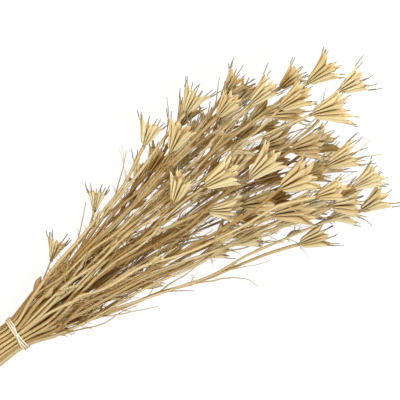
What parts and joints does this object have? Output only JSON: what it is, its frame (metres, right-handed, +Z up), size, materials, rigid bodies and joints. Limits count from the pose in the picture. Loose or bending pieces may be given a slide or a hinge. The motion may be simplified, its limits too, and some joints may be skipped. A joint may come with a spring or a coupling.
{
  "type": "bunch of nigella seed pods",
  "caption": "Bunch of dried nigella stalks lying on its side: slender straw stems held by a rubber band and fanning out to flared, keeled seed pods.",
  "frame": {"origin": "middle of the rubber band's flat underside, on the surface that the bunch lies on", "axes": "+X from the band towards the seed pods, +Y to the left seen from above, +Z up"},
  "size_m": [0.516, 0.2212, 0.1415],
  "materials": {
    "stalk": "matte dry straw",
    "band": "satin"
  },
  "bodies": {
    "root": {"rubber_band": "band", "stalk_01": "stalk", "stalk_02": "stalk", "stalk_03": "stalk", "stalk_04": "stalk", "stalk_05": "stalk", "stalk_06": "stalk", "stalk_07": "stalk", "stalk_08": "stalk", "stalk_09": "stalk", "stalk_10": "stalk", "stalk_11": "stalk", "stalk_12": "stalk", "stalk_13": "stalk", "stalk_14": "stalk", "stalk_15": "stalk", "stalk_16": "stalk", "stalk_17": "stalk", "stalk_18": "stalk", "stalk_19": "stalk", "stalk_20": "stalk", "stalk_21": "stalk", "stalk_22": "stalk", "stalk_23": "stalk", "stalk_24": "stalk", "stalk_25": "stalk", "stalk_26": "stalk", "stalk_27": "stalk", "stalk_28": "stalk", "stalk_29": "stalk", "stalk_30": "stalk", "stalk_31": "stalk", "stalk_32": "stalk", "stalk_33": "stalk", "stalk_34": "stalk", "stalk_35": "stalk", "stalk_36": "stalk", "stalk_37": "stalk", "stalk_38": "stalk", "stalk_39": "stalk", "stalk_40": "stalk", "stalk_41": "stalk", "stalk_42": "stalk", "stalk_43": "stalk", "stalk_44": "stalk", "stalk_45": "stalk", "stalk_46": "stalk", "stalk_47": "stalk", "stalk_48": "stalk", "stalk_49": "stalk", "stalk_50": "stalk", "stalk_51": "stalk", "stalk_52": "stalk", "stalk_53": "stalk", "stalk_54": "stalk", "stalk_55": "stalk", "stalk_56": "stalk"}
  },
  "joints": []
}
